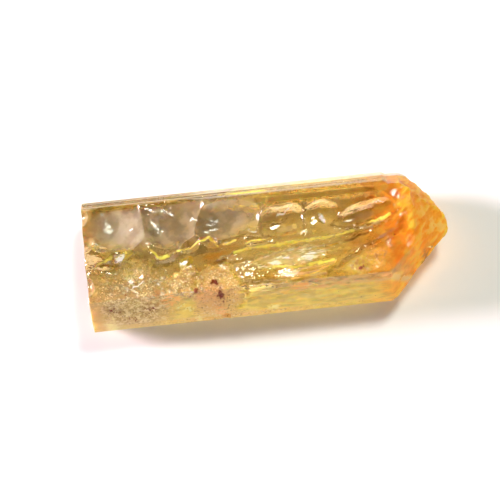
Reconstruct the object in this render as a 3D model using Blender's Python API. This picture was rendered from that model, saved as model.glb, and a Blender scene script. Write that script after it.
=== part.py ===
"""Imperial topaz: one loose crystal, ended at +X by its worn natural point and at -X by a cleavage break.

The crystal lies on one of its prism faces. +X runs along the crystal (its c axis) to the point, +Z is up,
and the origin is under the middle of the crystal, on the surface that it rests on.
"""

import math

import bmesh
import bpy
from mathutils import Matrix, Vector, noise

MM = 0.001

# Topaz's unit cell edges a, b and c, in angstroms: every flat face is worked out from them.
CELL = (4.65, 8.80, 8.39)

# Prism faces: Miller indices, the face's distance from the crystal's long centre line, and how many
# growth steps stripe it.
HALF_HEIGHT = 2.4 * MM
SIDE_FACE_DISTANCE = 3.98 * MM
PRISM_FACES = (
    ((1, 1, 0), HALF_HEIGHT, 4),
    ((1, 2, 0), 3.13 * MM, 2),
    ((0, 1, 0), SIDE_FACE_DISTANCE, 4),
    ((-1, 2, 0), 4.03 * MM, 3),
    ((-1, 1, 0), 3.77 * MM, 5),
    ((-1, -1, 0), HALF_HEIGHT, 1),
    ((-1, -2, 0), 3.04 * MM, 3),
    ((0, -1, 0), 4.09 * MM, 3),
    ((1, -2, 0), 3.96 * MM, 2),
    ((1, -1, 0), 3.65 * MM, 3),
)
GROWTH_STEP = 0.030 * MM
PRISM_HALF_LENGTH = 16 * MM

# A growth step's riser slopes over a share of its stripe. The stripes are unevenly wide: each step is
# shifted by up to a share of a stripe, to a rhythm in radians for each step and each face.
STEP_RISER = 0.12
STEP_SHIFT = 0.28
SHIFT_PER_STEP = 5.0
SHIFT_PER_FACE = 1.7

# The faces of the point, as distances from the crystal's centre. Fractional indices are vicinal faces,
# which etching has turned a little away from the true ones.
POINT_FACES = (
    ((1, 1, 2), 8.50 * MM),
    ((1, -1, 1.7), 7.84 * MM),
    ((0, -1, 0.9), 8.36 * MM),
    ((-1, -1, 2), 8.75 * MM),
    ((-1, 1, 2), 9.18 * MM),
    ((0, 2, 1), 7.54 * MM),
    ((0, 1, 1), 9.43 * MM),
    ((0, 1, 2), 11.10 * MM),
    ((0, 0, 1), 12.05 * MM),
)
CLEAVAGE_X = -12.05 * MM
BLOCK_SIZE = 36 * MM

# The outer growth layer on the long side face stops short of the point.
LAYER_END_X = 8.30 * MM
LAYER_DEPTH = 0.22 * MM
LAYER_END_SLOPE = 1.2
LAYER_CUTTER_SIZE = 8 * MM

# Conchoidal chips in the top: centre x and y, half length, half width, depth, turn about Z in degrees.
TOP_CHIPS = (
    (-9.90, 3.20, 2.50, 3.00, 0.92, 3),
    (-6.30, 3.10, 2.40, 2.90, 0.80, -5),
    (-2.70, 1.90, 2.55, 1.45, 0.60, 4),
    (-5.05, 0.45, 0.80, 0.55, 0.42, 32),
    (-3.85, 0.55, 0.62, 0.42, 0.34, -24),
    (-2.20, 0.38, 0.95, 0.36, 0.30, 12),
    (-0.75, 0.26, 0.80, 0.30, 0.24, -9),
    (3.70, 1.35, 1.30, 1.15, 0.36, 20),
    (6.60, 1.15, 2.25, 0.92, 0.55, 13),
    (6.95, 0.30, 1.65, 0.46, 0.26, 12),
    (3.60, -0.85, 5.50, 0.72, 0.24, 9),
    (4.60, -0.75, 5.00, 1.00, 0.30, 24),
    (-9.90, -0.95, 1.60, 0.75, 0.40, -14),
    (-6.60, -0.95, 1.30, 0.80, 0.34, 24),
    (-3.75, -1.90, 1.60, 1.25, 0.16, -10),
)
# The ball that scoops a top chip is this many times as tall as the chip is deep.
BALL_PER_DEPTH = 1.9
# A chip whose right side ends on a cleavage plane, like a small walled pit.
WALLED_CHIP = (1.15, 1.35, 1.75, 1.15, 0.55, 8)
WALLED_CHIP_END_X = 2.55 * MM

# Chips along the edges: centre x, y, z from the resting face, half length, half width, half height. Each
# is turned about Z by this many degrees more than the one before.
EDGE_CHIP_TURN = 15
EDGE_CHIPS = (
    (-12.20, 3.10, 4.65, 0.65, 0.75, 0.70),
    (-11.95, 1.25, 5.05, 1.00, 0.62, 0.75),
    (-12.40, -1.60, 4.90, 0.80, 0.90, 0.50),
    (-12.35, -3.60, 2.20, 0.55, 0.60, 1.10),
    (-12.30, 0.80, -0.10, 0.55, 2.00, 0.50),
    (-3.30, -4.55, 2.10, 0.80, 0.38, 0.62),
    (10.45, -2.30, 2.60, 0.60, 0.35, 0.50),
    (-5.60, 4.20, 1.60, 0.25, 1.10, 0.40),
    (2.80, 3.98, 1.30, 0.25, 0.80, 0.38),
    (6.40, -4.40, 0.60, 1.60, 0.70, 0.65),
)

# A chip's hollow has faint shell-like ripples and a slow waviness, both as shares of its radius.
RIPPLE_RELIEF = 0.015
RIPPLES_ALONG = 9
RIPPLES_ACROSS = 4
WAVE_RELIEF = 0.075
WAVES_PER_RADIUS = 1.7
LARGE_CHIP = 1.5 * MM

# Worn surfaces: the etched point and the sugary skin near the broken end.
ETCHED_FROM_X = 8.7 * MM
ETCHED_FADE = 1.4 * MM
THIN_TIP_X = 10.8 * MM
THIN_TIP_SPARED = 0.75
ETCHED_BOX = (Vector((8.7, -5, -1)) * MM, Vector((12.6, 5, 6)) * MM)
ETCHED_CELL = 0.56 * MM
ETCHED_RELIEF = 0.20 * MM
ETCHED_LUMP = 1.2 * MM
ETCHED_GRAIN = Vector((0.7, 0.7, 0))
ROUGH_CENTRE = Vector((-7.0, -2.9, 4.2)) * MM
ROUGH_REACH = Vector((5.2, 1.9, 1.9)) * MM
ROUGH_CORE = 0.6
ROUGH_BOX = (Vector((-12.2, -4.8, 2.3)) * MM, Vector((-1.8, -1.0, 5)) * MM)
ROUGH_CELL = 0.65 * MM
ROUGH_RELIEF = 0.16 * MM
ROUGH_LUMP = 0.5 * MM
ROUGH_GRAIN = Vector((1, 0, 0))

# The lumps of a worn surface: how drawn out along the grain, how sharp, how much finer each of the layers
# is than the one before, and how much of the skin they leave alone.
LUMP_STRETCH = 0.6
LUMP_SHARPNESS = 0.9
LUMP_FINENESS = 2.1
LUMP_LAYERS = 3
LUMP_LEVEL = 0.35

# Corners lie on a fine grid. Those nearer than the weld distance are one, and shorter edges go.
GRID = 0.0001 * MM
WELD_DISTANCE = 0.004 * MM
SLIVER_LENGTH = 0.002 * MM
SLICE_TOLERANCE = 0.01 * MM

SHARP_ANGLE = 28
COLOUR = (0.83, 0.52, 0.16, 1.0)
POLISH = 0.06
REFRACTION = 1.62


def face_normal(indices):
    """The outward normal of a face (hkl), with c along +X and (110) facing up."""
    lean = math.atan2(1 / CELL[1], 1 / CELL[0])
    a_axis = Vector((0, -math.sin(lean), math.cos(lean)))
    b_axis = Vector((0, math.cos(lean), math.sin(lean)))
    c_axis = Vector((1, 0, 0))
    h, k, l = indices
    return (a_axis * (h / CELL[0]) + b_axis * (k / CELL[1]) + c_axis * (l / CELL[2])).normalized()


def section_corner(face, neighbour):
    """Where two prism faces meet, in the plane x = 0."""
    first, second = face_normal(face[0]), face_normal(neighbour[0])
    lines = Matrix(((first.y, first.z), (second.y, second.z)))
    return lines.inverted() @ Vector((face[1], neighbour[1]))


def section_points():
    """The prism's outline: straight faces, each broken into a few low growth steps."""
    points = []
    count = len(PRISM_FACES)
    for i, face in enumerate(PRISM_FACES):
        start = section_corner(PRISM_FACES[i - 1], face)
        end = section_corner(face, PRISM_FACES[(i + 1) % count])
        normal = face_normal(face[0]).yz
        steps = face[2]
        points.append(start)
        for step in range(1, steps):
            shift = STEP_SHIFT * math.sin(SHIFT_PER_STEP * step + SHIFT_PER_FACE * i) / steps
            foot = start.lerp(end, step / steps + shift)
            riser = STEP_RISER / steps
            points.append(foot - normal * GROWTH_STEP)
            points.append(foot + (end - start) * riser)
    return points


def new_object(name, bm, collection):
    """Makes an object of a bmesh and frees the bmesh."""
    bmesh.ops.recalc_face_normals(bm, faces=bm.faces)
    mesh = bpy.data.meshes.new(name)
    bm.to_mesh(mesh)
    bm.free()
    obj = bpy.data.objects.new(name, mesh)
    collection.objects.link(obj)
    return obj


def make_prism(collection):
    """The striped prism, longer than the crystal at both ends."""
    bm = bmesh.new()
    outline = [bm.verts.new((-PRISM_HALF_LENGTH, p.x, p.y + HALF_HEIGHT)) for p in section_points()]
    face = bm.faces.new(outline)
    swept = bmesh.ops.extrude_face_region(bm, geom=[face])["geom"]
    moved = [item for item in swept if isinstance(item, bmesh.types.BMVert)]
    bmesh.ops.translate(bm, verts=moved, vec=(2 * PRISM_HALF_LENGTH, 0, 0))
    return new_object("topaz_crystal", bm, collection)


def cut_off(bm, point, normal):
    """Cuts a convex block by a plane and closes it again."""
    geometry = bm.verts[:] + bm.edges[:] + bm.faces[:]
    cut = bmesh.ops.bisect_plane(
        bm, geom=geometry, plane_co=point, plane_no=normal, clear_outer=True, dist=1e-8
    )
    rim = [item for item in cut["geom_cut"] if isinstance(item, bmesh.types.BMEdge)]
    bmesh.ops.contextual_create(bm, geom=rim)


def make_point_block(collection):
    """A block with the faces of the point at +X and the cleavage at -X, wider than the prism."""
    centre = Vector((0, 0, HALF_HEIGHT))
    bm = bmesh.new()
    bmesh.ops.create_cube(bm, size=BLOCK_SIZE)
    for indices, distance in POINT_FACES:
        normal = face_normal(indices)
        cut_off(bm, centre + normal * distance, normal)
    cut_off(bm, Vector((CLEAVAGE_X, 0, 0)), Vector((-1, 0, 0)))
    return new_object("point_block", bm, collection)


def make_layer_cutter(collection):
    """Takes the outer layer off the long side face, from its sloping end to the point."""
    along = Vector((1, 0, 0))
    side = face_normal((0, 1, 0))
    outward = side - along * LAYER_END_SLOPE
    bm = bmesh.new()
    bmesh.ops.create_cube(bm, size=LAYER_CUTTER_SIZE)
    axes = Matrix((along, side.cross(along), outward)).transposed().to_4x4()
    inner_edge = Vector((LAYER_END_X, 0, HALF_HEIGHT)) + side * (SIDE_FACE_DISTANCE - LAYER_DEPTH)
    bm.transform(Matrix.Translation(inner_edge + (along + outward) * (LAYER_CUTTER_SIZE / 2)) @ axes)
    return new_object("layer_cutter", bm, collection)


def make_scallop(name, centre, radii, turn, collection):
    """An egg-shaped cutter with faint shell-like ripples, which leaves a conchoidal hollow."""
    bm = bmesh.new()
    bmesh.ops.create_icosphere(bm, subdivisions=4 if radii.x > LARGE_CHIP else 3, radius=1)
    for vert in bm.verts:
        ripple = math.sin(RIPPLES_ALONG * vert.co.x + RIPPLES_ACROSS * vert.co.y + centre.x / MM)
        wave = noise.noise(vert.co * WAVES_PER_RADIUS + centre / MM)
        vert.co *= 1 + RIPPLE_RELIEF * ripple + WAVE_RELIEF * wave
    bm.transform(Matrix.Diagonal(radii.to_4d()))
    bm.transform(Matrix.Translation(centre) @ Matrix.Rotation(math.radians(turn), 4, "Z"))
    return new_object(name, bm, collection)


def make_top_scallop(name, chip, collection):
    """A shallow hollow in the top face, of the outline and depth that the chip gives."""
    x, y, half_length, half_width, depth, turn = chip
    ball_height = BALL_PER_DEPTH * depth
    above = ball_height - depth
    widening = 1 / math.sqrt(1 - (above / ball_height) ** 2)
    radii = Vector((half_length * widening, half_width * widening, ball_height)) * MM
    centre = Vector((x, y, 2 * HALF_HEIGHT / MM + above)) * MM
    return make_scallop(name, centre, radii, turn, collection)


def make_walled_scallop(collection):
    """The hollow whose right side stops at a cleavage plane."""
    cutter = make_top_scallop("walled_chip", WALLED_CHIP, collection)
    bm = bmesh.new()
    bm.from_mesh(cutter.data)
    cut_off(bm, Vector((WALLED_CHIP_END_X, 0, 0)), Vector((1, 0, 0)))
    bm.to_mesh(cutter.data)
    bm.free()
    return cutter


def make_cutters(collection):
    """Every tool that takes stone away."""
    cutters = [make_layer_cutter(collection), make_walled_scallop(collection)]
    for i, chip in enumerate(TOP_CHIPS):
        cutters.append(make_top_scallop(f"top_chip_{i}", chip, collection))
    for i, chip in enumerate(EDGE_CHIPS):
        centre, radii = Vector(chip[:3]) * MM, Vector(chip[3:]) * MM
        cutters.append(make_scallop(f"edge_chip_{i}", centre, radii, EDGE_CHIP_TURN * i, collection))
    return cutters


def add_boolean(obj, cutter, operation):
    """Intersects the object with a cutter, or takes the cutter away from it."""
    modifier = obj.modifiers.new(cutter.name, "BOOLEAN")
    modifier.operation = operation
    modifier.solver = "EXACT"
    modifier.object = cutter


def apply_modifiers(obj):
    """Replaces the object's mesh with what its modifiers make of it."""
    depsgraph = bpy.context.evaluated_depsgraph_get()
    shaped = bpy.data.meshes.new_from_object(obj.evaluated_get(depsgraph))
    obj.modifiers.clear()
    obj.data = shaped


def smooth_step(low, high, value):
    """Rises smoothly from 0 at low to 1 at high."""
    t = min(1.0, max(0.0, (value - low) / (high - low)))
    return t * t * (3 - 2 * t)


def etched(point):
    """How deep the etching is here, from 0 to 1. The thin tip keeps most of its stone."""
    start = smooth_step(ETCHED_FROM_X, ETCHED_FROM_X + ETCHED_FADE, point.x)
    return start * (1 - THIN_TIP_SPARED * smooth_step(THIN_TIP_X, -CLEAVAGE_X, point.x))


def rough(point):
    """How sugary the skin is here, from 0 to 1."""
    offset = point - ROUGH_CENTRE
    reach = Vector((offset.x / ROUGH_REACH.x, offset.y / ROUGH_REACH.y, offset.z / ROUGH_REACH.z))
    return 1 - smooth_step(ROUGH_CORE, 1.0, reach.length)


def slice_region(bm, low, high, pitch):
    """Cuts the skin inside a box into cells of the pitch, by planes square to X, then Y, then Z."""
    for axis in range(3):
        normal = Vector((0, 0, 0))
        normal[axis] = 1
        count = math.ceil((high[axis] - low[axis]) / pitch)
        for i in range(count + 1):
            place = low.copy()
            place[axis] = low[axis] + (high[axis] - low[axis]) * i / count
            faces = [face for face in bm.faces if overlaps(face, low, high)]
            edges = dict.fromkeys(edge for face in faces for edge in face.edges)
            verts = dict.fromkeys(vert for face in faces for vert in face.verts)
            bmesh.ops.bisect_plane(
                bm, geom=[*verts, *edges, *faces], plane_co=place, plane_no=normal, dist=SLICE_TOLERANCE
            )


def overlaps(face, low, high):
    """Whether a face reaches into the box."""
    for axis in range(3):
        places = [vert.co[axis] for vert in face.verts]
        if max(places) < low[axis] + 2 * SLICE_TOLERANCE:
            return False
        if min(places) > high[axis] - 2 * SLICE_TOLERANCE:
            return False
    return True


def roughen(bm, weight, relief, size, grain):
    """Eats the skin away between smooth lumps of a size, drawn out along the grain."""
    bm.normal_update()
    moves = []
    for vert in bm.verts:
        strength = weight(vert.co)
        if strength > 0:
            place = vert.co / size
            place = place - grain * (LUMP_STRETCH * place.dot(grain))
            lumps = noise.fractal(place, LUMP_SHARPNESS, LUMP_FINENESS, LUMP_LAYERS) - LUMP_LEVEL
            moves.append((vert, vert.normal * (min(lumps, 0.0) * relief * strength)))
    for vert, move in moves:
        vert.co += move


def keep_resting_face_flat(bm):
    """No worn lump dips below the surface that the crystal lies on."""
    for vert in bm.verts:
        vert.co.z = max(vert.co.z, 0.0)


def ordered_skin(mesh):
    """The mesh's faces with corners on the grid and in a fixed order, so that every build is the same."""
    corners = [tuple(round(value / GRID) for value in vert.co) for vert in mesh.vertices]
    loops = []
    for polygon in mesh.polygons:
        loop = [corners[i] for i in polygon.vertices]
        loop = [corner for i, corner in enumerate(loop) if corner != loop[i - 1]]
        first = loop.index(min(loop))
        loops.append(loop[first:] + loop[:first])
    bm = bmesh.new()
    verts = {corner: bm.verts.new(Vector(corner) * GRID) for corner in sorted(set(corners))}
    for loop in sorted(loops):
        bm.faces.new([verts[corner] for corner in loop])
    return bm


def wear(obj):
    """Etches the point and roughens the skin near the broken end."""
    bm = ordered_skin(obj.data)
    bmesh.ops.remove_doubles(bm, verts=bm.verts, dist=WELD_DISTANCE)
    bmesh.ops.dissolve_degenerate(bm, edges=bm.edges, dist=SLIVER_LENGTH)
    bmesh.ops.triangulate(bm, faces=bm.faces)
    slice_region(bm, *ETCHED_BOX, ETCHED_CELL)
    slice_region(bm, *ROUGH_BOX, ROUGH_CELL)
    bmesh.ops.triangulate(bm, faces=bm.faces)
    roughen(bm, etched, ETCHED_RELIEF, ETCHED_LUMP, ETCHED_GRAIN)
    roughen(bm, rough, ROUGH_RELIEF, ROUGH_LUMP, ROUGH_GRAIN)
    keep_resting_face_flat(bm)
    bm.to_mesh(obj.data)
    bm.free()


def topaz_material():
    """Clear golden stone."""
    material = bpy.data.materials.new("topaz")
    material.use_nodes = True
    shader = material.node_tree.nodes["Principled BSDF"]
    shader.inputs["Base Color"].default_value = COLOUR
    shader.inputs["Roughness"].default_value = POLISH
    shader.inputs["Metallic"].default_value = 0.0
    shader.inputs["IOR"].default_value = REFRACTION
    shader.inputs["Transmission Weight"].default_value = 1.0
    return material


def main():
    """Builds the crystal as one solid."""
    for obj in list(bpy.data.objects):
        bpy.data.objects.remove(obj)
    scene_collection = bpy.context.scene.collection
    parts = bpy.data.collections.new("imperial_topaz")
    tools = bpy.data.collections.new("cutters")
    scene_collection.children.link(parts)
    scene_collection.children.link(tools)

    crystal = make_prism(parts)
    block = make_point_block(tools)
    add_boolean(crystal, block, "INTERSECT")
    cutters = make_cutters(tools)
    for cutter in cutters:
        add_boolean(crystal, cutter, "DIFFERENCE")
    apply_modifiers(crystal)
    for cutter in [block, *cutters]:
        bpy.data.objects.remove(cutter)
    wear(crystal)

    crystal.data.materials.clear()
    crystal.data.materials.append(topaz_material())
    crystal.data.shade_smooth()
    crystal.data.set_sharp_from_angle(angle=math.radians(SHARP_ANGLE))


main()
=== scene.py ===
"""Looks of one loose imperial topaz crystal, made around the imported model."""

import math
import random

import bmesh
import bpy
import numpy as np
from mathutils import Euler, Matrix, Vector, noise


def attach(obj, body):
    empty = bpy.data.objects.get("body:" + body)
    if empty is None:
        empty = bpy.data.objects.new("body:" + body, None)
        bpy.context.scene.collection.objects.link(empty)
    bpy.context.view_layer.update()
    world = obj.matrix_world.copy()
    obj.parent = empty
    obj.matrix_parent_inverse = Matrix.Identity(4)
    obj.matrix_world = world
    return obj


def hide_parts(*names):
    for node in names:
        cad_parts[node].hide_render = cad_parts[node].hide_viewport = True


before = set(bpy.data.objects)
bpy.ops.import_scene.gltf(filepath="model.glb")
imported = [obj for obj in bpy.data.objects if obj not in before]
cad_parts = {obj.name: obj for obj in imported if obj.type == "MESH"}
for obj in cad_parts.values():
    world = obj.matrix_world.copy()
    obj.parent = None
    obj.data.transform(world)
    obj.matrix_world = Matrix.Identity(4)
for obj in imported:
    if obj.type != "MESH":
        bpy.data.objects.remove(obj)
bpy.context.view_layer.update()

# ---------------------------------------------------------------------------------------------------
# The stand: a sheet of plain white paper that the crystal lies on. The light is a dim room with one
# lamp high in the north, a lower one in the west and a faint glow in the south. The camera looks
# almost straight down, from a little to the south.
MM = 0.001
PAPER_COLOUR = (0.93, 0.92, 0.92, 1)
PAPER_SIDE = 1200 * MM
PAPER_GAP = 0.01 * MM

bpy.ops.mesh.primitive_plane_add(size=PAPER_SIDE, location=(0, 0, -PAPER_GAP))
paper = bpy.context.object
paper.name = "paper"

paper_material = bpy.data.materials.new("paper")
paper_material.use_nodes = True
paper_shader = paper_material.node_tree.nodes["Principled BSDF"]
paper_shader.inputs["Base Color"].default_value = PAPER_COLOUR
paper_shader.inputs["Roughness"].default_value = 0.9
paper_shader.inputs["Specular IOR Level"].default_value = 0.1
paper.data.materials.append(paper_material)


class Wire:
    """One output socket of a node tree. A sum with it adds Math nodes, and node() adds any other node."""

    def __init__(self, tree, socket=None):
        self.tree = tree
        self.socket = socket

    def node(self, kind, settings=(), inputs=(), output=0):
        made = self.tree.nodes.new(kind)
        for name, value in dict(settings).items():
            setattr(made, name, value)
        for name, value in dict(inputs).items():
            if isinstance(value, Wire):
                self.tree.links.new(value.socket, made.inputs[name])
            else:
                made.inputs[name].default_value = value
        return Wire(self.tree, made.outputs[output])

    def math(self, operation, first, second=0.0):
        return self.node("ShaderNodeMath", {"operation": operation}, {0: first, 1: second})

    def __add__(self, other):
        return self.math("ADD", self, other)

    def __radd__(self, other):
        return self.math("ADD", other, self)

    def __sub__(self, other):
        return self.math("SUBTRACT", self, other)

    def __rsub__(self, other):
        return self.math("SUBTRACT", other, self)

    def __mul__(self, other):
        return self.math("MULTIPLY", self, other)

    def __rmul__(self, other):
        return self.math("MULTIPLY", other, self)

    def ramp(self, low, high):
        """0 at low, 1 at high, smooth between them and level outside."""
        settings = {"interpolation_type": "SMOOTHSTEP"}
        return self.node("ShaderNodeMapRange", settings, {"Value": self, "From Min": low, "From Max": high})

    def link(self, socket):
        self.tree.links.new(self.socket, socket)


# Each lamp is round and soft: (full light inside this angle, none outside this one), in degrees.
SKY_LIGHT = Vector((0.06, 0.055, 0.05))
HORIZON_LIGHT = Vector((0.55, 0.53, 0.50))
HORIZON_BAND = (0.42, 0.04)
LAMP_DIRECTION = Vector((0.28, 0.44, 0.85)).normalized()
LAMP_LIGHT = Vector((50, 52, 46))
LAMP_SPREAD = (4, 8)
SIDE_LAMP_DIRECTION = Vector((-0.92, 0.24, 0.31)).normalized()
SIDE_LAMP_LIGHT = Vector((98, 82, 90))
SIDE_LAMP_SPREAD = (5, 12)
FRONT_DIRECTION = Vector((0.15, -0.97, 0.20)).normalized()
FRONT_LIGHT = Vector((3.2, 3.0, 2.9))
FRONT_SPREAD = (10, 34)

world = bpy.data.worlds.new("soft_light")
bpy.context.scene.world = world
world.use_nodes = True
room = Wire(world.node_tree)
room_direction = room.node("ShaderNodeTexCoord", output="Generated")


def glow(direction, spread):
    """How much of a lamp is seen: 1 near its direction, fading to 0 over its spread."""
    inner_deg, outer_deg = spread
    settings = {"operation": "DOT_PRODUCT"}
    cosine = room.node("ShaderNodeVectorMath", settings, {0: room_direction, 1: direction}, "Value")
    return cosine.ramp(math.cos(math.radians(outer_deg)), math.cos(math.radians(inner_deg)))


def add_light(light, colour, amount):
    """The light so far, and a share of one more."""
    settings = {"operation": "MULTIPLY_ADD"}
    spread = room.node("ShaderNodeCombineXYZ", inputs={0: amount, 1: amount, 2: amount})
    return room.node("ShaderNodeVectorMath", settings, {0: spread, 1: colour, 2: light})


height = room.node("ShaderNodeSeparateXYZ", inputs={0: room_direction}, output="Z")
light = add_light(SKY_LIGHT, HORIZON_LIGHT, height.ramp(*HORIZON_BAND))
light = add_light(light, LAMP_LIGHT, glow(LAMP_DIRECTION, LAMP_SPREAD))
light = add_light(light, FRONT_LIGHT, glow(FRONT_DIRECTION, FRONT_SPREAD))
light = add_light(light, SIDE_LAMP_LIGHT, glow(SIDE_LAMP_DIRECTION, SIDE_LAMP_SPREAD))
light.link(world.node_tree.nodes["Background"].inputs["Color"])

LENS_MM = 180
SENSOR_MM = 36
FRAME_WIDTH = 33.33 * MM
CAMERA_ELEVATION = math.radians(80)
CRYSTAL_TURN_IN_FRAME = math.radians(6.1)
LOOK_AT = Vector((-1.19, 0.03, 2.4)) * MM

camera_data = bpy.data.cameras.new("camera")
camera_data.lens = LENS_MM
camera_data.sensor_width = SENSOR_MM
camera_data.clip_start = 5 * MM
camera_data.clip_end = 5000 * MM
camera = bpy.data.objects.new("camera", camera_data)
bpy.context.scene.collection.objects.link(camera)
bpy.context.scene.camera = camera
back = Vector((0, -math.cos(CAMERA_ELEVATION), math.sin(CAMERA_ELEVATION)))
right = Vector((1, 0, 0))
upright = Matrix((right, back.cross(right), back)).transposed()
roll = Matrix.Rotation(-CRYSTAL_TURN_IN_FRAME, 3, back)
distance = FRAME_WIDTH * LENS_MM / SENSOR_MM
camera.matrix_world = Matrix.Translation(LOOK_AT + back * distance) @ (roll @ upright).to_4x4()

bpy.context.scene.view_settings.view_transform = "Standard"
light_paths = bpy.context.scene.cycles
light_paths.max_bounces = 14
light_paths.transmission_bounces = 12
light_paths.glossy_bounces = 6
light_paths.diffuse_bounces = 3
light_paths.transparent_max_bounces = 16
light_paths.blur_glossy = 0.3
light_paths.sample_clamp_indirect = 8.0

# ---------------------------------------------------------------------------------------------------
# The crystal: one piece of clear topaz. It grew as a striped prism, etching has roughened its point,
# and knocks have left shell-like hollows in its top and a sugary skin near the broken end.
WELD = 0.0005 * MM
SHARP_EDGE = math.radians(20)
FLAT_ANGLE = math.radians(0.4)
FINE_EDGE = 0.165 * MM
FINE_ROUNDS = 8
UPWARD = 0.4


def faces_up(edge):
    return any(face.normal.z > UPWARD for face in edge.link_faces)


skin = bmesh.new()
skin.from_mesh(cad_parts["topaz_crystal"].data)
bmesh.ops.remove_doubles(skin, verts=skin.verts, dist=WELD)
crease = skin.edges.layers.float.new("crease_edge")
for edge in skin.edges:
    if edge.calc_face_angle(0) > SHARP_EDGE:
        edge[crease] = 1.0
crystal = bpy.data.objects.new("crystal", bpy.data.meshes.new("crystal"))
bpy.context.scene.collection.objects.link(crystal)
skin.to_mesh(crystal.data)
skin.free()
rounding = crystal.modifiers.new("rounding", "SUBSURF")
rounding.levels = rounding.render_levels = 1
depsgraph = bpy.context.evaluated_depsgraph_get()
crystal.data = bpy.data.meshes.new_from_object(crystal.evaluated_get(depsgraph))
crystal.modifiers.clear()

skin = bmesh.new()
skin.from_mesh(crystal.data)
bmesh.ops.dissolve_limit(skin, angle_limit=FLAT_ANGLE, verts=skin.verts, edges=skin.edges)
bmesh.ops.triangulate(skin, faces=skin.faces)
for _ in range(FINE_ROUNDS):
    long_edges = [edge for edge in skin.edges if edge.calc_length() > FINE_EDGE and faces_up(edge)]
    bmesh.ops.subdivide_edges(skin, edges=long_edges, cuts=1)
    bmesh.ops.triangulate(skin, faces=[face for face in skin.faces if len(face.verts) > 3])
    flat_edges = [edge for edge in skin.edges if edge.calc_face_angle(1) < FLAT_ANGLE]
    bmesh.ops.beautify_fill(skin, faces=skin.faces, edges=flat_edges)
skin.to_mesh(crystal.data)
skin.free()
crystal.data.shade_smooth()

# The fine relief is worked out in mm. A route is a line of places on the top, seen from above, and it
# fades out past its ends. Noise has finer and finer lumps, each size of them weaker than the last.
FADING = 0.8
FINENESS = 2.1
END_FADE = 0.8
points = np.empty(len(crystal.data.vertices) * 3)
normals = np.empty(len(crystal.data.vertices) * 3)
crystal.data.vertices.foreach_get("co", points)
crystal.data.vertex_normals.foreach_get("vector", normals)
points = points.reshape(-1, 3) / MM
normals = normals.reshape(-1, 3)


def step(low, high, value):
    """0 at low, 1 at high, smooth between them and level outside."""
    t = np.clip((value - low) / (high - low), 0, 1)
    return t * t * (3 - 2 * t)


def fractal(places, octaves=3):
    """Noise between about -1 and 1, with lumps one unit wide and finer ones on them."""
    return np.array([noise.fractal(Vector(place), FADING, FINENESS, octaves) for place in places])


def wander(size, stretch=(1, 1, 1), octaves=3, seed=0.0):
    """Noise at every point, with lumps of a size and drawn out by stretch."""
    return fractal(points / (size * np.array(stretch)) + seed, octaves)


def oval(x, y, half_length, half_width, turn_deg=0.0, soft=0.5):
    """1 inside an oval on the plan and 0 outside it."""
    turn = math.radians(turn_deg)
    along = (plan_x - x) * math.cos(turn) + (plan_y - y) * math.sin(turn)
    across = (plan_y - y) * math.cos(turn) - (plan_x - x) * math.sin(turn)
    return 1 - step(1 - soft, 1, np.hypot(along / half_length, across / half_width))


def from_route(route):
    """Each point's offset to the left of a route, its distance from it, and 1 but for past its ends."""
    nearest = np.full(plan_x.shape, 1e3)
    offset = np.zeros(plan_x.shape)
    past_end = np.zeros(plan_x.shape)
    legs = list(zip(route, route[1:]))
    for i, ((x1, y1), (x2, y2)) in enumerate(legs):
        length = math.hypot(x2 - x1, y2 - y1)
        run_x, run_y = (x2 - x1) / length, (y2 - y1) / length
        along = (plan_x - x1) * run_x + (plan_y - y1) * run_y
        left = (plan_y - y1) * run_x - (plan_x - x1) * run_y
        past = np.maximum(along - length, -along)
        apart = np.hypot(left, np.maximum(past, 0))
        closer = apart < nearest
        nearest = np.where(closer, apart, nearest)
        offset = np.where(closer, left, offset)
        at_end = (along < 0) * (i == 0) + (along > length) * (i == len(legs) - 1)
        past_end = np.where(closer, at_end * past, past_end)
    return offset, nearest, 1 - step(0, END_FADE, past_end)


def ledge(route, height, width, reach):
    """A small cliff along a route, high on its left side, whose top and foot run out into the face."""
    offset, nearest, inside = from_route(route)
    return height * np.tanh(offset / width) * np.exp(-((nearest / reach) ** 2)) * inside


def ridge(route, height, width):
    """A low rounded ridge along a route."""
    _, nearest, inside = from_route(route)
    return height * np.exp(-((nearest / width) ** 2)) * inside


RAGGED = 0.10
plan_x = points[:, 0] + RAGGED * wander(0.45)
plan_y = points[:, 1] + RAGGED * wander(0.45, seed=7.0)

SPALL_RIM = [(-7.7, 0.4), (-7.3, -0.3), (-6.15, 0.0), (-5.1, 0.15), (-4.7, 0.45), (-3.8, 0.8), (-3.3, 0.1)]
SECOND_RIM = [(-2.9, 0.2), (-2.2, 0.4), (-1.5, 0.05), (-1.0, 0.2), (-0.1, 0.2)]
LONG_EDGE = [(-3.0, -0.7), (-1.4, -0.3), (0.6, -0.2), (3.8, -0.1), (5.3, 0.1), (6.9, 0.55), (8.2, 1.0)]
UNDER_EDGE = [(-2.6, -1.1), (-0.3, -0.85), (1.6, -0.65), (3.6, -0.6), (5.3, -0.4), (6.7, 0.0)]
STREAK = [(0.2, -1.65), (1.4, -1.8), (2.9, -1.7), (4.2, -1.6)]
DARK_CURVE = [(-1.7, -2.5), (0.9, -2.6), (2.0, -2.8), (3.2, -2.6), (4.3, -2.15), (6.1, -1.05), (8.5, 0.05)]
END_RIDGE = [(-11.7, -0.45), (-10.9, -0.2), (-10.2, 0.1), (-9.3, 0.3)]
SUGAR_BRINK = [(-2.6, -0.9), (-2.1, -1.5), (-1.9, -2.3), (-1.6, -3.1), (-2.1, -4.0), (-2.4, -4.6)]
LOW_LINE = [(-1.6, -3.75), (1.9, -3.85), (5.9, -3.6), (8.7, -3.2)]
SPALL_WAVE = [(-7.7, 3.1), (-7.3, 2.8), (-6.9, 2.95), (-6.5, 2.8), (-6.1, 2.5)]
POINT_FOLD = [(8.2, 2.25), (8.65, 1.7), (9.15, 1.4), (9.7, 1.25)]
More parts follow.
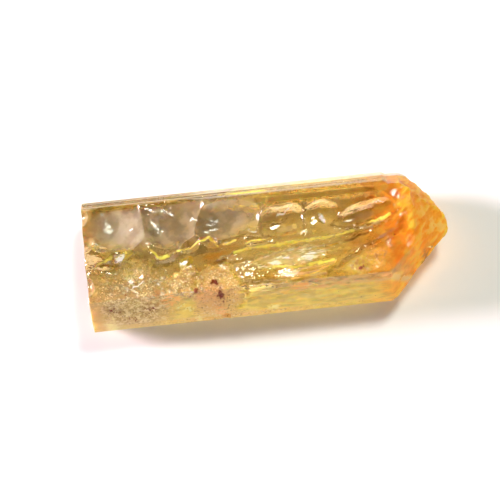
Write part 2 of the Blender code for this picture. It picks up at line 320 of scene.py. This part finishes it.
POINT_CUT = [(8.9, 0.6), (8.5, 0.05), (8.0, -0.5)]
PIT_BRINK = [(-0.35, 2.1), (-0.35, 0.45), (1.2, 0.25), (2.46, 0.25), (2.6, 2.3)]
OVAL_BRINK = [
    (4.3, 0.7),
    (5.2, 1.4),
    (6.7, 1.75),
    (8.2, 1.75),
    (8.8, 1.6),
    (7.9, 0.9),
    (6.6, 0.45),
    (5.2, 0.35),
    (4.3, 0.7),
]

# Each ledge is (route, height, width of its slope, reach into the face), and each ridge is (route,
# height, width), in mm.
LEDGES = [
    (SPALL_RIM, -0.10, 0.05, 0.50),
    (SECOND_RIM, -0.08, 0.05, 0.40),
    (LONG_EDGE, 0.09, 0.05, 0.60),
    (UNDER_EDGE, 0.06, 0.06, 0.45),
    (STREAK, 0.05, 0.05, 0.35),
    (DARK_CURVE, 0.10, 0.10, 0.60),
    (END_RIDGE, 0.10, 0.05, 0.60),
    (SUGAR_BRINK, 0.10, 0.06, 0.60),
    (POINT_FOLD, 0.09, 0.06, 0.50),
    (POINT_CUT, -0.08, 0.06, 0.50),
]
RIDGES = [
    (LOW_LINE, 0.030, 0.08),
    (SPALL_WAVE, 0.050, 0.06),
    (PIT_BRINK, 0.035, 0.07),
    (OVAL_BRINK, 0.030, 0.08),
]
relief = sum(ledge(*row) for row in LEDGES) + sum(ridge(*row) for row in RIDGES)

# The spalls' hollows carry faint shell-like ripples that spread from one place past the north edge.
RIPPLES_FROM = (-5.5, 5.5)
RIPPLE_OVALNESS = 1.6
RIPPLE_PITCH = 14
RIPPLE_HEIGHT = 0.005
HOLLOW_WAVE_HEIGHT = 0.011
depth = points[:, 2].max() - points[:, 2]
hollow = step(0.06, 0.25, depth) * step(3.2, 3.6, points[:, 2])
ripple_radius = np.hypot((plan_x - RIPPLES_FROM[0]) / RIPPLE_OVALNESS, plan_y - RIPPLES_FROM[1])
ripples = np.sin(ripple_radius * RIPPLE_PITCH + 2 * wander(1.2)) * (1 - step(2.0, 4.0, plan_x))
relief += hollow * (RIPPLE_HEIGHT * ripples + HOLLOW_WAVE_HEIGHT * wander(0.8, octaves=2))

# The worn band is drawn out along the crystal. Each groove is (height, width in mm, stretch, seed).
BAND_GROOVES = [(0.013, 0.60, 8.0, 3.0), (0.009, 0.25, 6.0, 5.0)]
worn_band = step(-3.6, -2.8, plan_y) * (1 - step(-0.3, 0.6, plan_y))
worn_band *= step(-3.5, -2.0, plan_x) * (1 - step(3.5, 6.0, plan_x))
for groove_height, groove_width, stretch, seed in BAND_GROOVES:
    relief += groove_height * worn_band * wander(groove_width, (stretch, 1, 1), 2, seed)

# The sugary patch, the grainy corner and the broken triangle are rough in bumps of a few tenths of a mm.
SUGAR_HEIGHT = 0.06
GRAIN_HEIGHT = 0.032
BROKEN_HEIGHT = 0.03
sugar = np.maximum(oval(-3.7, -2.9, 2.3, 2.5, 0, 0.6), 0.8 * oval(-5.6, -1.9, 1.5, 1.1, 30, 0.6))
sugar = step(0.2, 0.8, sugar + 0.35 * wander(0.45, seed=2.0))
grain = oval(-9.0, -2.5, 3.8, 2.7, 0, 0.6)
broken = oval(6.5, -1.9, 2.0, 0.85, 18, 0.5)
bumps = wander(0.30)
roughness = (SUGAR_HEIGHT * sugar + GRAIN_HEIGHT * grain) * bumps + BROKEN_HEIGHT * broken * wander(0.24)

# Etching has left feathers that run slantwise over the point.
FEATHER_TURN = math.radians(43.8)
FEATHER_LENGTH = 0.9
FEATHER_WIDTH = 0.22
FEATHER_HEIGHT = 0.09
ETCH_HEIGHT = 0.03
point = step(8.3, 9.8, points[:, 0] + 0.4 * wander(1.0))
feather_along = points[:, 0] * math.cos(FEATHER_TURN) + points[:, 1] * math.sin(FEATHER_TURN)
feather_across = points[:, 1] * math.cos(FEATHER_TURN) - points[:, 0] * math.sin(FEATHER_TURN)
along_feathers = feather_along / FEATHER_LENGTH
across_feathers = feather_across / FEATHER_WIDTH
feathers = fractal(np.column_stack((along_feathers, across_feathers, points[:, 2] / FEATHER_LENGTH)))
relief += point * (FEATHER_HEIGHT * feathers + ETCH_HEIGHT * wander(0.2))

CREASE_ANGLE = math.radians(30)
upward = step(0.35, 0.6, normals[:, 2])
relief = relief * np.maximum(upward, point) + roughness * step(0.0, 0.2, normals[:, 2])
points += normals * relief[:, None]
points[:, 2] = np.maximum(points[:, 2], 0)
crystal.data.vertices.foreach_set("co", (points * MM).ravel())
crystal.data.update()
crystal.data.set_sharp_from_angle(angle=CREASE_ANGLE)


def keep(name, mask):
    """Stores a mask with the mesh, so that the finish can follow the relief."""
    crystal.data.attributes.new(name, "FLOAT", "POINT").data.foreach_set("value", mask.astype(np.float32))


def distance_to(routes):
    """The distance to the nearest of some routes, in mm."""
    return np.minimum.reduce([from_route(route)[1] for route in routes])


# Painted highlight: bright lines are painted along these rims, edges and ridges.
keep("painted_highlight_line", distance_to([SPALL_RIM, SECOND_RIM, LONG_EDGE, END_RIDGE, STREAK]))
# Painted shade: dark lines are painted along these ledges and round the brinks of the pits.
keep("painted_shade_line", distance_to([UNDER_EDGE, DARK_CURVE, OVAL_BRINK, PIT_BRINK]))
keep("point", point)
keep("feathers", feathers)
keep("sugar", sugar)
keep("grain", grain)
keep("broken", broken)
keep("worn_band", worn_band)

# The stone itself is clear. It is champagne-coloured, honey in the south and amber at the point. The grey,
# mauve and olive along the north of its top are a painted reflection, which darkens it there. Its places
# are in mm here too, in the crystal's own frame.
TOPAZ_IOR = 1.62
CHAMPAGNE = (0.98, 0.89, 0.60, 1)
PAINTED_REFLECTION_GREY = (0.74, 0.62, 0.50, 1)
HONEY = (1.0, 0.85, 0.34, 1)
AMBER = (1.0, 0.52, 0.05, 1)
PAINTED_GLOW_PEACH = (1.0, 0.66, 0.34, 1)
RUST = (0.82, 0.42, 0.16, 1)
BROWN = (0.28, 0.15, 0.04, 1)
CREAM = (1.0, 0.96, 0.80, 1)
PAINTED_HIGHLIGHT_LEMON = (1.0, 0.98, 0.55, 1)

topaz = bpy.data.materials.new("topaz")
topaz.use_nodes = True
topaz_shader = topaz.node_tree.nodes["Principled BSDF"]
topaz_shader.inputs["IOR"].default_value = TOPAZ_IOR
topaz_shader.inputs["Transmission Weight"].default_value = 1.0
stone = Wire(topaz.node_tree)
place = stone.node("ShaderNodeTexCoord", output="Object")
place = stone.node("ShaderNodeVectorMath", {"operation": "SCALE"}, {0: place, "Scale": 1 / MM})


def mask(name):
    return stone.node("ShaderNodeAttribute", {"attribute_name": name}, output="Fac")


def cloud(size, detail=3.0, stretch=(1, 1, 1), output="Fac"):
    """Noise between about 0.3 and 0.7, with lumps of a size and drawn out by stretch."""
    scaled = stone.node("ShaderNodeVectorMath", {"operation": "DIVIDE"}, {0: place, 1: stretch})
    inputs = {"Vector": scaled, "Scale": 1 / size, "Detail": detail}
    return stone.node("ShaderNodeTexNoise", inputs=inputs, output=output)


def shaken(size, reach):
    """The place, shifted by noise, so that what is drawn there gets a ragged edge."""
    settings = {"operation": "SUBTRACT"}
    shift = stone.node("ShaderNodeVectorMath", settings, {0: cloud(size, output="Color"), 1: (0.5, 0.5, 0.5)})
    return stone.node("ShaderNodeVectorMath", {"operation": "MULTIPLY_ADD"}, {0: shift, 1: reach, 2: place})


ragged = shaken(1.7, (2.4, 1.7, 1.0))
frayed = shaken(0.3, (0.7, 0.7, 0))


def spot(x, y, half_length, half_width, turn_deg=0, soft=0.5, field=ragged):
    """1 in a ragged oval seen from above and 0 outside it, whatever the height."""
    inputs = {
        "Vector": field,
        "Location": (x, y, 0),
        "Rotation": (0, 0, math.radians(turn_deg)),
        "Scale": (half_length, half_width, 1e3),
    }
    inside = stone.node("ShaderNodeMapping", {"vector_type": "TEXTURE"}, inputs)
    from_middle = stone.node("ShaderNodeVectorMath", {"operation": "LENGTH"}, {0: inside}, "Value")
    return 1 - from_middle.ramp(1 - soft, 1)


def patches(places, soft=0.6):
    """1 in any of some small ragged ovals, each (x, y, half length, half width, turn)."""
    total = 0.0
    for x, y, half_length, half_width, turn_deg in places:
        total = total + spot(x, y, half_length, half_width, turn_deg, soft, frayed)
    return total.math("MINIMUM", total, 1.0)


def layered(colour, layers):
    """A colour with others laid over it in turn, each (how much of it there is, the colour)."""
    for amount, layer in layers:
        colour = stone.node("ShaderNodeMix", {"data_type": "RGBA"}, {0: amount, 6: colour, 7: layer}, 2)
    return colour


at_x = stone.node("ShaderNodeSeparateXYZ", inputs={0: ragged}, output="X")
at_y = stone.node("ShaderNodeSeparateXYZ", inputs={0: place}, output="Y")


def stripe(y, half_width):
    """1 along a line that runs with the crystal and 0 beside it."""
    offset = at_y - y
    return 1 - offset.math("ABSOLUTE", offset).ramp(0.3 * half_width, half_width)


broad = cloud(0.9)
fine = cloud(0.3)
veins = cloud(0.35, 3.0, (3.0, 1, 1))
striae = cloud(0.16, 2.0, (60, 1, 1))
# Painted glow: peach streaks drawn out along the middle of the top.
painted_glow_streaks = spot(2.4, -2.3, 2.8, 1.0) * cloud(0.22, 3.0, (14, 1, 1)).ramp(0.49, 0.57)
north_band = at_y.ramp(3.25, 3.45)
painted_shade_line = 1 - mask("painted_shade_line").ramp(0.02, 0.16)
painted_highlight_line = 1 - mask("painted_highlight_line").ramp(0.0, 0.10)
lens = spot(-3.2, -0.9, 0.65, 0.22, 4, 0.5, frayed)

STONE_LAYERS = [
    # Painted reflection: the north of the top is painted greyer and darker.
    (0.9 * spot(-5.5, 2.2, 7.4, 2.5), PAINTED_REFLECTION_GREY),
    (spot(3.0, -2.9, 8.0, 2.0), HONEY),
    (0.6 * veins.ramp(0.45, 0.62), HONEY),
    (0.6 * north_band, HONEY),
    (at_x.ramp(4.6, 9.2), AMBER),
    (0.7 * spot(-3.7, -3.0, 1.8, 1.2), RUST),
    (0.5 * spot(-11.3, 2.6, 0.5, 1.3), RUST),
    (0.55 * spot(6.6, 1.1, 2.2, 0.6, 13, 0.3), BROWN),
    (0.8 * lens, BROWN),
    # Painted shade: a brown darkening in the north of the top.
    (0.5 * spot(-4.3, 2.0, 2.7, 1.7), BROWN),
    # Painted glow: peach streaks in the middle.
    (0.6 * painted_glow_streaks, PAINTED_GLOW_PEACH),
    (0.5 * spot(-3.3, -0.4, 1.7, 0.6), AMBER),
    (0.22 * north_band * striae.ramp(0.46, 0.54), BROWN),
    (0.75 * stripe(3.42, 0.12) + 0.5 * stripe(3.78, 0.08), BROWN),
    # Painted shade: brown lines along the ledges and pit brinks.
    (0.6 * painted_shade_line, BROWN),
    # Painted highlight: lemon lines along the rims and edges.
    (0.8 * painted_highlight_line, PAINTED_HIGHLIGHT_LEMON),
]
layered(CHAMPAGNE, STONE_LAYERS).link(topaz_shader.inputs["Base Color"])

frost = mask("point") + 0.8 * mask("sugar") + 0.6 * mask("grain")
(0.03 + 0.22 * frost).link(topaz_shader.inputs["Roughness"])
texture = 0.25 * cloud(0.11, 2.0, (30, 1, 1)) + (0.15 + 0.6 * frost) * cloud(0.14, 2.0)
texture = texture + 0.9 * mask("worn_band") * cloud(0.12, 2.0, (7, 1, 1)) + 0.6 * mask("feathers")
BUMP_STRENGTH = 0.45
BUMP_HEIGHT = 0.04 * MM
bump_inputs = {"Height": texture, "Strength": BUMP_STRENGTH, "Distance": BUMP_HEIGHT}
bump = stone.node("ShaderNodeBump", inputs=bump_inputs, output="Normal")
bump.link(topaz_shader.inputs["Normal"])

# Worn, etched, sugary or cracked skin scatters the light: it is a frosting over the clear stone. Many of
# its colours are painted light. White, yellow, orange and peach patches and streaks are painted glints
# and glows. The rims, a north strip, a middle band and its sparkles carry painted highlights. The mauve
# and olive in the north and in the pits are painted reflections.
FROST_GOLD = (1.0, 0.74, 0.13, 1)
PAINTED_REFLECTION_MAUVE = (0.62, 0.53, 0.36, 1)
FROST_TAN = (0.68, 0.50, 0.20, 1)
FROST_CREAM = (0.82, 0.55, 0.18, 1)
FROST_DEEP = (0.85, 0.30, 0.01, 1)
PAINTED_REFLECTION_OLIVE = (0.42, 0.32, 0.14, 1)
FROST_ORANGE = (1.0, 0.38, 0.01, 1)
FROST_FLAME = (1.0, 0.62, 0.05, 1)
PAINTED_TIP_HIGHLIGHT = (1.0, 0.66, 0.12, 1)
PAINTED_BAND_GOLD = (1.0, 0.82, 0.38, 1)
FROST_SAND = (1.0, 0.86, 0.50, 1)
UMBER = (0.36, 0.19, 0.05, 1)
STAIN = (0.20, 0.025, 0.004, 1)
PAINTED_HIGHLIGHT_YELLOW = (1.0, 0.88, 0.14, 1)
PAINTED_GLOW_ORANGE = (1.0, 0.52, 0.16, 1)
PAINTED_SUNLIT_YELLOW = (1.0, 0.92, 0.42, 1)
PAINTED_GLINT_WHITE = (1.0, 0.97, 0.90, 1)
# Each patch of it is (x, y, half length, half width, turn), in mm and degrees.
STAINS = [
    (-3.70, -2.25, 0.34, 0.30, 0),
    (-3.40, -3.05, 0.30, 0.42, 0),
    (-5.05, -2.70, 0.26, 0.24, 0),
]
# Painted glints: small white patches where the light catches.
PAINTED_GLINTS = [
    (-9.8, 0.0, 0.50, 0.24, 25),
    (-9.17, -1.64, 0.26, 0.20, 50),
    (-8.8, -1.95, 0.75, 0.09, 22),
    (-8.79, 1.93, 0.17, 0.14, 0),
    (-4.68, 2.1, 0.28, 0.12, -20),
    (-0.86, 0.87, 0.35, 0.12, -10),
    (1.15, 1.90, 0.55, 0.10, 20),
    (1.60, 2.15, 0.16, 0.20, 0),
    (2.45, 0.42, 0.40, 0.08, 10),
    (5.82, 0.62, 0.12, 0.12, 0),
    (3.75, 1.3, 0.16, 0.45, 20),
    (-5.6, -0.75, 0.45, 0.12, 25),
    (-5.3, -1.05, 0.30, 0.10, -25),
    (7.6, 1.95, 0.55, 0.06, 5),
    (-11.3, 1.1, 0.22, 0.12, -40),
]
BROWN_FLAKES = [
    (6.2, 1.1, 1.45, 0.50, 10),
    (-5.1, -1.6, 0.30, 0.22, 30),
    (10.35, -1.75, 0.24, 0.60, -15),
    (-11.35, 1.35, 0.45, 0.40, 0),
    (0.5, 1.7, 1.0, 0.35, 8),
    (5.9, -2.35, 0.45, 0.22, 15),
]
# Painted reflections: olive lenses in the two pits.
PAINTED_OLIVE_REFLECTIONS = [
    (6.9, 0.45, 1.75, 0.16, 13),
    (1.3, 0.85, 1.05, 0.28, 10),
]
# Painted highlights: pale yellow patches of light, most of them along the south.
PAINTED_SUNLIT_PATCHES = [
    (-10.9, -4.15, 0.80, 0.38, 0),
    (-10.6, -3.7, 0.30, 0.25, 0),
    (-5.6, -3.65, 0.55, 0.09, 6),
    (-6.1, -3.45, 0.40, 0.06, 6),
    (-5.0, -4.15, 0.28, 0.20, 0),
    (-1.85, -3.3, 0.10, 0.35, 0),
    (0.0, -4.0, 0.50, 0.13, 5),
    (0.8, -1.05, 0.70, 0.10, 8),
    (2.5, -1.2, 0.75, 0.10, 2),
    (-0.6, -1.55, 0.45, 0.08, 4),
]
# Painted glows: orange patches of light, broken into dashes.
PAINTED_ORANGE_GLOWS = [
    (1.2, -2.15, 0.85, 0.28, 4),
    (1.8, -3.0, 0.75, 0.20, 5),
    (1.4, -2.55, 0.90, 0.09, 5),
    (-6.7, -3.0, 0.90, 0.45, 10),
    (-3.5, -3.9, 0.60, 0.25, 0),
]

frosting = stone.node(
    "ShaderNodeBsdfPrincipled",
    inputs={
        "Roughness": 0.5,
        "IOR": 1.3,
        "Transmission Weight": 0.25,
        "Subsurface Weight": 0.7,
        "Subsurface Radius": (1.0, 0.55, 0.15),
        "Subsurface Scale": 1.2 * MM,
    },
)
frosting_shader = frosting.socket.node
# Painted reflection: mauve frosting along the north of the top, and an olive darkening inside it.
painted_north_reflection = spot(-6.2, 2.2, 8.2, 2.5) * (1 - 0.8 * north_band)
painted_olive_shade = spot(-4.3, 2.0, 2.7, 1.7)
sandy_corner = spot(-9.6, -3.6, 3.2, 1.6)
feather_tips = mask("feathers").ramp(-0.15, 0.40)
feather_roots = mask("feathers").ramp(0.0, -0.40)
specks = cloud(0.12, 2.0).ramp(0.57, 0.62) * broad.ramp(0.36, 0.52)
dark_specks = cloud(0.17, 2.0).ramp(0.54, 0.60) * broad.ramp(0.62, 0.46)
sandy = mask("grain") + mask("sugar") + mask("broken")
dark_sand = mask("grain") * fine.ramp(0.50, 0.60)
pale_sand = mask("grain") * fine.ramp(0.48, 0.38)
stains = patches(STAINS, 0.7)
web = mask("broken") * fine.ramp(0.50, 0.62)
# Painted highlight: yellow along the rims and edges, and a yellow strip in the north band.
painted_rim_highlight = (1 - mask("painted_highlight_line").ramp(0.02, 0.15)) * broad.ramp(0.36, 0.50)
outer_strip = at_y.ramp(3.86, 3.98) * at_x.ramp(-7.0, -3.0)
painted_strip_highlight = spot(-0.8, 3.7, 1.6, 0.6) * stripe(3.62, 0.14)
# Painted highlight: a bright band along the middle, with painted sparkles in dashes on it.
painted_band_highlight = spot(1.3, -1.1, 3.4, 0.75, 3, 0.6, frayed)
dashes = cloud(0.16, 3.0, (5, 1, 1))
painted_sparkles = painted_band_highlight * dashes.ramp(0.53, 0.60)
west_end = at_x.ramp(-11.0, -11.7)
# Painted highlight: a cream line along the edge between the top and the south face.
painted_edge_highlight = stripe(-3.05, 0.32) * at_x.ramp(0.0, 2.0) * veins.ramp(0.35, 0.50)
low_side = at_y.ramp(-2.7, -3.5)
brown_flakes = patches(BROWN_FLAKES)
painted_olive_reflections = patches(PAINTED_OLIVE_REFLECTIONS)
painted_glints = patches(PAINTED_GLINTS)
painted_sunlit_patches = patches(PAINTED_SUNLIT_PATCHES, 0.9)
painted_orange_glows = patches(PAINTED_ORANGE_GLOWS) * dashes.ramp(0.40, 0.54)

POINT_LAYERS = [
    (0.7 * feather_tips + 0.3 * at_x.ramp(10.0, 11.6), FROST_FLAME),
    (0.5 * feather_roots, FROST_DEEP),
]
FROST_LAYERS = [
    # Painted reflection in the north: mauve and olive over the frosting.
    (painted_north_reflection, PAINTED_REFLECTION_MAUVE),
    (0.8 * painted_olive_shade, PAINTED_REFLECTION_OLIVE),
    (mask("sugar"), FROST_CREAM),
    (mask("grain"), FROST_TAN),
    (0.8 * sandy_corner, FROST_TAN),
    (0.6 * dark_sand, UMBER),
    (0.7 * pale_sand, FROST_SAND),
    (0.9 * dark_specks * sandy, UMBER),
    (0.8 * specks * sandy, FROST_SAND),
    (at_x.ramp(5.6, 8.8), layered(FROST_ORANGE, POINT_LAYERS)),
    (0.6 * spot(-4.1, -3.0, 1.5, 1.1, 0, 0.8, frayed), RUST),
    (stains, STAIN),
    (web, UMBER),
    (0.8 * lens, UMBER),
    # Painted highlight along the rims and edges.
    (painted_rim_highlight, PAINTED_HIGHLIGHT_YELLOW),
    # Painted glow: peach streaks in the frosting.
    (0.8 * painted_glow_streaks, PAINTED_GLOW_PEACH),
    # Painted highlight: yellow on the feather tips at the far end of the point.
    (spot(11.0, 0.3, 1.2, 1.7, 0, 0.8) * feather_tips, PAINTED_TIP_HIGHLIGHT),
    # Painted highlight: the bright middle band.
    (0.7 * painted_band_highlight, PAINTED_BAND_GOLD),
    # Painted highlight along the edge between the top and the south face.
    (painted_edge_highlight, FROST_CREAM),
    (0.85 * brown_flakes, UMBER),
    # Painted reflections in olive, in the pits.
    (0.85 * painted_olive_reflections, PAINTED_REFLECTION_OLIVE),
    # Painted glows in orange.
    (0.8 * painted_orange_glows, PAINTED_GLOW_ORANGE),
    # Painted highlights in pale yellow.
    (0.9 * painted_sunlit_patches, PAINTED_SUNLIT_YELLOW),
    # Painted glints in white.
    (painted_glints, PAINTED_GLINT_WHITE),
    # Painted sparkles in cream.
    (painted_sparkles, CREAM),
    (0.8 * outer_strip, CREAM),
    # Painted highlight: a yellow strip in the north band.
    (painted_strip_highlight, PAINTED_HIGHLIGHT_YELLOW),
    (0.8 * west_end, FROST_TAN),
]
layered(FROST_GOLD, FROST_LAYERS).link(frosting_shader.inputs["Base Color"])
bump.link(frosting_shader.inputs["Normal"])

# The frosting is thin. These are its shares of the surface, which add up to no more than MOST_MIST.
MOST_MIST = 0.9
mist = sum(
    [
        0.10 * broad.ramp(0.42, 0.65),
        0.14 * veins.ramp(0.5, 0.7) * spot(2.0, -1.8, 8.0, 2.2),
        mask("point") * (0.55 + 0.1 * fine.ramp(0.4, 0.62)),
        0.35 * at_x.ramp(6.0, 9.0),
        low_side * (0.50 + 0.25 * veins.ramp(0.4, 0.6)),
        0.2 * north_band * striae.ramp(0.45, 0.6),
        0.4 * outer_strip,
        0.7 * painted_strip_highlight,
        painted_north_reflection * (0.20 + 0.15 * broad.ramp(0.40, 0.62)),
        0.25 * spot(-9.9, 1.9, 2.4, 1.6),
        mask("sugar") * (0.35 + 0.25 * fine.ramp(0.35, 0.65) + 0.4 * specks),
        mask("grain") * (0.18 + 0.30 * fine.ramp(0.40, 0.62) + 0.4 * specks),
        0.35 * mask("broken"),
        0.4 * web,
        0.3 * sandy * dark_specks,
        0.8 * stains,
        # Several shares below carry painted highlights, glows, glints and reflections into the frosting.
        0.8 * painted_rim_highlight,
        0.3 * painted_glow_streaks,
        0.30 * painted_band_highlight,
        0.6 * painted_sparkles,
        0.12 * west_end,
        0.45 * brown_flakes,
        0.5 * painted_olive_reflections,
        0.8 * painted_glints,
        0.8 * painted_orange_glows,
        0.7 * painted_sunlit_patches,
        0.5 * painted_edge_highlight,
        0.2 * painted_olive_shade,
        0.25 * sandy_corner,
        0.25 * dark_sand,
        0.3 * pale_sand,
    ]
)
clear_stone = Wire(topaz.node_tree, topaz_shader.outputs[0])
mix_inputs = {0: mist.math("MINIMUM", mist, MOST_MIST), 1: clear_stone, 2: frosting}
surface = stone.node("ShaderNodeMixShader", inputs=mix_inputs)
surface.link(topaz.node_tree.nodes["Material Output"].inputs["Surface"])

# Light grows yellower on its way through the stone.
ABSORPTION = {"Color": (1.0, 0.86, 0.38, 1), "Density": 70.0}
absorption = stone.node("ShaderNodeVolumeAbsorption", inputs=ABSORPTION, output="Volume")
absorption.link(topaz.node_tree.nodes["Material Output"].inputs["Volume"])
crystal.data.materials.clear()
crystal.data.materials.append(topaz)

# Healed cracks are thin gaps of air inside the stone, which shine where they turn the light back. Each
# is (x, y, z, half length, half width, turn, lean to the north, lean to the east), in mm and degrees.
CRACKS = [
    (0.8, -1.0, 3.9, 0.7, 0.15, 8, 5, 4),
    (2.5, -1.15, 3.9, 0.8, 0.16, 2, 8, 4),
    (1.8, -2.9, 3.4, 0.6, 0.07, 0, 30, 0),
    (-9.6, 0.15, 4.2, 0.75, 0.30, 22, 8, 6),
    (-9.2, -1.2, 4.3, 0.42, 0.30, 50, 9, -6),
    (-8.9, -1.95, 4.2, 0.75, 0.16, 20, 16, 0),
    (-11.35, 1.3, 3.8, 0.45, 0.75, 10, 30, -38),
    (-11.6, 3.0, 3.6, 0.30, 0.70, 0, -20, -42),
    (-5.4, -0.6, 4.1, 0.55, 0.35, 30, 20, 10),
    (-3.0, -1.0, 4.2, 0.55, 0.16, 8, 44, 0),
    (-1.0, -1.6, 3.9, 0.7, 0.10, 6, -30, 8),
    (3.4, -0.6, 4.3, 1.2, 0.12, 6, 10, 0),
    (5.9, -2.0, 4.0, 0.9, 0.45, 20, 35, 14),
    (7.0, -2.85, 3.9, 1.1, 0.16, 2, 25, 0),
    (8.6, 1.7, 4.0, 0.7, 0.3, -40, 30, 25),
    (10.7, -0.9, 2.6, 0.5, 0.3, 60, 45, 30),
    (-1.8, 3.6, 3.6, 1.3, 0.16, 0, 50, 0),
    (-10.5, -2.8, 4.2, 0.5, 0.3, 40, -28, 20),
]
CRACK_GAP = 0.012
CRACK_WAVE = 0.05
CRACK_FRAY = 0.22
WAVES_PER_MM = 2.2

gaps = bmesh.new()
for x, y, z, half_length, half_width, turn, north_lean, east_lean in CRACKS:
    lean = Euler((math.radians(-north_lean), math.radians(east_lean), math.radians(turn)), "ZYX")
    for vert in bmesh.ops.create_uvsphere(gaps, u_segments=28, v_segments=8, radius=1)["verts"]:
        edge_wander = 1 + CRACK_FRAY * noise.noise(Vector((vert.co.x * 2, vert.co.y * 2, x + y)))
        flat = Vector((vert.co.x * half_length * edge_wander, vert.co.y * half_width * edge_wander, 0))
        wave = CRACK_WAVE * noise.fractal(Vector((flat.x, flat.y, x)) * WAVES_PER_MM, FADING, FINENESS, 3)
        flat.z = wave + vert.co.z * CRACK_GAP
        vert.co = (lean.to_matrix() @ flat + Vector((x, y, z))) * MM
bmesh.ops.reverse_faces(gaps, faces=gaps.faces)
for face in gaps.faces:
    face.smooth = True
gap_mesh = bpy.data.meshes.new("gaps")
gaps.to_mesh(gap_mesh)
gaps.free()
skin = bmesh.new()
skin.from_mesh(crystal.data)
skin.from_mesh(gap_mesh)
skin.to_mesh(crystal.data)
skin.free()

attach(crystal, "root")
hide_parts("topaz_crystal")

# ---------------------------------------------------------------------------------------------------
# The iron stains: red-brown flakes of iron oxide, which ground water has left on the skin. The large
# ones sit in the sugary patch, and small grains lie in loose heaps round about.
IRON_COLOUR = (0.20, 0.030, 0.008, 1)
# Each is (x, y, radius), in mm.
IRON_SPOTS = [
    (-3.70, -2.25, 0.13),
    (-3.55, -2.38, 0.07),
    (-5.05, -2.70, 0.09),
    (-3.45, -2.90, 0.10),
    (-3.35, -3.15, 0.12),
    (-3.25, -3.42, 0.06),
    (-5.40, -3.00, 0.06),
    (0.14, 0.50, 0.06),
    (2.46, -2.30, 0.06),
    (5.90, -2.35, 0.11),
    (6.10, -2.25, 0.07),
    (-7.95, -3.35, 0.11),
    (-8.20, -3.45, 0.08),
    (-9.20, -3.95, 0.06),
    (-10.75, -3.30, 0.11),
    (-10.50, -3.20, 0.08),
    (-10.55, -3.40, 0.06),
]

# Each heap is (x, y, reach, number of grains).
GRAIN_HEAPS = [
    (-10.6, -3.3, 0.55, 22),
    (-8.1, -3.4, 0.5, 16),
    (-9.4, -3.9, 0.5, 14),
    (-9.8, -2.4, 1.0, 16),
    (6.0, -2.3, 0.7, 10),
    (5.5, -3.6, 2.6, 14),
    (-3.7, -2.9, 0.9, 12),
]
SOUTH_EDGE_Y = -4.15
GRAIN_RADII = (0.018, 0.045)
dice = random.Random(4)
for x, y, reach, number in GRAIN_HEAPS:
    for _ in range(number):
        grain_x = dice.gauss(x, reach / 2)
        grain_y = max(dice.gauss(y, reach / 4), SOUTH_EDGE_Y)
        IRON_SPOTS.append((grain_x, grain_y, dice.uniform(*GRAIN_RADII)))

# A flake is flat, ragged and a little sunk, as shares of its radius.
FLATNESS = 0.35
SUNK = 0.15
RAGGEDNESS = 0.8
RAG_SIZE = 0.08 * MM
ABOVE_ALL = 6

iron = bmesh.new()
for x, y, size in IRON_SPOTS:
    _, on_skin, outward, _ = crystal.ray_cast(Vector((x, y, ABOVE_ALL)) * MM, Vector((0, 0, -1)))
    flat_lie = outward.to_track_quat("Z", "Y").to_matrix()
    middle = on_skin - outward * (SUNK * size * MM)
    for vert in bmesh.ops.create_icosphere(iron, subdivisions=2, radius=size * MM)["verts"]:
        rag = noise.fractal(vert.co / RAG_SIZE + Vector((x, y, 0)), FADING, FINENESS, 3)
        flat = Vector((vert.co.x, vert.co.y, FLATNESS * vert.co.z))
        vert.co = middle + flat_lie @ (flat * (1 + RAGGEDNESS * rag))
iron_mesh = bpy.data.meshes.new("iron_stains")
iron.to_mesh(iron_mesh)
iron.free()
iron_mesh.shade_smooth()
iron_stains = bpy.data.objects.new("iron_stains", iron_mesh)
bpy.context.scene.collection.objects.link(iron_stains)

rust = bpy.data.materials.new("iron_stain")
rust.use_nodes = True
rust_shader = rust.node_tree.nodes["Principled BSDF"]
rust_shader.inputs["Base Color"].default_value = IRON_COLOUR
rust_shader.inputs["Roughness"].default_value = 0.8
iron_mesh.materials.append(rust)
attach(iron_stains, "root")
